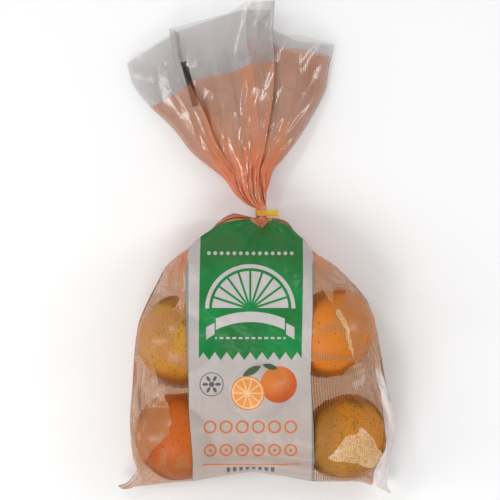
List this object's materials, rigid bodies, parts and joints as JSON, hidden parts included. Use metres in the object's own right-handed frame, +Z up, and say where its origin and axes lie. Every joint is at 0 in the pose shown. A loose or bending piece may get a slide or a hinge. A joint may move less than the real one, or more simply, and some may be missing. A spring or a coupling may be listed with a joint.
{
  "type": "net of oranges",
  "caption": "Clear film bag with fine orange stripes and a printed front panel, filled with oranges, taped shut at the gathered neck, with a fanned tail of spare film, lying on its back.",
  "frame": {"origin": "centre of the bounding box's underside, on the surface that the bag lies on", "axes": "+Z up out of the printed front, +Y from the bag's hem to its open end, +X to the right of the print"},
  "size_m": [0.2306, 0.4112, 0.0759],
  "materials": {
    "film": "clear glossy film with fine orange stripes along its length",
    "print": "opaque print on film: green field, white borders and white foot",
    "tape": "yellow adhesive tape",
    "peel": "waxy orange peel with fine pores"
  },
  "bodies": {
    "root": {"bag": "film", "label": "print", "tie": "tape"}
  },
  "joints": []
}
